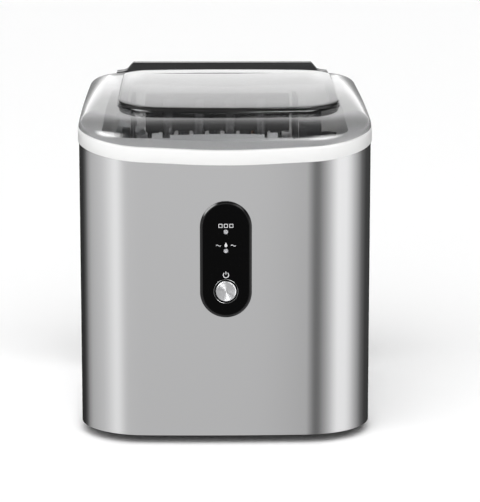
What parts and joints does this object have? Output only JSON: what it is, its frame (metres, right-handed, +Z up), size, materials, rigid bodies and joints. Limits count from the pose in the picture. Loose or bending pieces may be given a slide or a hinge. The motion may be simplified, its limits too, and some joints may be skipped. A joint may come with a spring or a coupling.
{
  "type": "portable ice maker",
  "caption": "Countertop ice maker: a steel wrap, a white rim, a smoked flip-up lid, a touch pill with a round button, and a full freezing mechanism inside.",
  "frame": {"origin": "on the table, under the middle of the body", "axes": "+Z up, -Y out of the front with the controls, +X to the right seen from the front"},
  "size_m": [0.2436, 0.3202, 0.287],
  "materials": {
    "stainless_steel": "satin, fine horizontal brushing",
    "white_plastic": "white ABS, semi gloss",
    "grey_plastic": "grey ABS, matt",
    "black_plastic": "black, fine texture",
    "gloss_black": "black, high gloss",
    "smoked_plastic": "smoked clear plastic, high gloss",
    "spun_aluminium": "spun, circular brushing",
    "lens": "pale translucent lens",
    "circuit_board": "green solder mask",
    "nickel_plate": "bright nickel plate",
    "silicone": "milky silicone",
    "black_paint": "black enamel, semi gloss",
    "aluminium": "plain",
    "zinc_steel": "zinc plated",
    "copper": "bare copper",
    "rubber": "matt"
  },
  "bodies": {
    "casing": {"steel_wrap": "stainless_steel", "rear_panel": "black_plastic", "base_pan": "black_plastic", "top_frame": "white_plastic", "inner_tub": "grey_plastic", "hinge_cover": "gloss_black", "control_bezel": "gloss_black", "ice_full_lens": "lens", "add_water_lens": "lens", "control_board": "circuit_board", "tact_switch": "black_plastic", "evaporator": "nickel_plate", "side_bracket_left": "black_plastic", "side_bracket_right": "black_plastic", "pump_housing": "black_plastic", "inlet_hose": "silicone", "supply_hose": "silicone", "compressor": "black_paint", "terminal_cover": "black_plastic", "condenser": "aluminium", "fan_shroud": "black_plastic", "fan_motor": "aluminium", "fan_bracket": "zinc_steel", "filter_drier": "copper", "hot_gas_valve": "copper", "discharge_tube": "copper", "liquid_tube": "copper", "capillary_tube": "copper", "suction_tube": "copper", "power_board": "circuit_board", "cord_gland": "black_plastic", "level_probe": "zinc_steel", "ice_sensor_left": "black_plastic", "ice_sensor_right": "black_plastic", "tray_motor": "black_plastic", "tray_pivot_pin": "zinc_steel", "hinge_pin_left": "zinc_steel", "hinge_pin_right": "zinc_steel", "front_foot_left": "rubber", "rear_foot_left": "rubber", "front_foot_right": "rubber", "rear_foot_right": "rubber", "grommet_left": "rubber", "grommet_right": "rubber", "grommet_rear": "rubber", "rear_screw_lower_left": "zinc_steel", "rear_screw_lower_right": "zinc_steel", "rear_screw_upper_left": "zinc_steel", "rear_screw_upper_right": "zinc_steel"},
    "lid": {"lid_shell": "smoked_plastic", "lid_window": "smoked_plastic"},
    "button": {"power_button": "spun_aluminium"},
    "basket": {"ice_basket": "white_plastic"},
    "tray": {"water_tray": "white_plastic", "tray_drive_shaft": "zinc_steel"},
    "shovel": {"ice_shovel": "white_plastic", "shovel_rod": "zinc_steel"},
    "fan": {"fan_blade": "black_plastic"},
    "impeller": {"pump_impeller": "white_plastic"},
    "plug": {"drain_plug": "silicone"}
  },
  "joints": [
    {"name": "lid_hinge", "type": "hinge", "parent": "casing", "child": "lid", "pos_m": [0, 0.1235, 0.275], "axis": [-1, 0, 0], "range_deg": [0, 90]},
    {"name": "button_press", "type": "slide", "parent": "casing", "child": "button", "axis": [0, 1, 0], "range_m": [0, 0.0012], "stiffness_N_per_m": 400},
    {"name": "basket_lift", "type": "slide", "parent": "casing", "child": "basket", "axis": [0, 0, 1], "range_m": [0, 0.04]},
    {"name": "tray_tilt", "type": "hinge", "parent": "casing", "child": "tray", "pos_m": [0, 0.0345, 0.238], "axis": [1, 0, 0], "range_deg": [0, 75]},
    {"name": "shovel_tip", "type": "hinge", "parent": "casing", "child": "shovel", "pos_m": [0, -0.0375, 0.203], "axis": [1, 0, 0], "range_deg": [0, 35]},
    {"name": "fan_spin", "type": "hinge", "parent": "casing", "child": "fan", "pos_m": [0.04, 0.0805, 0.084], "axis": [1, 0, 0], "continuous": true},
    {"name": "impeller_spin", "type": "hinge", "parent": "casing", "child": "impeller", "pos_m": [0.074, -0.0155, 0.02], "axis": [0, 0, 1], "continuous": true},
    {"name": "plug_pull", "type": "slide", "parent": "casing", "child": "plug", "axis": [0, 0, -1], "range_m": [0, 0.016]}
  ],
  "couplings": [
    {"joint": "shovel_tip", "follows": "tray_tilt", "ratio": 0.46}
  ]
}
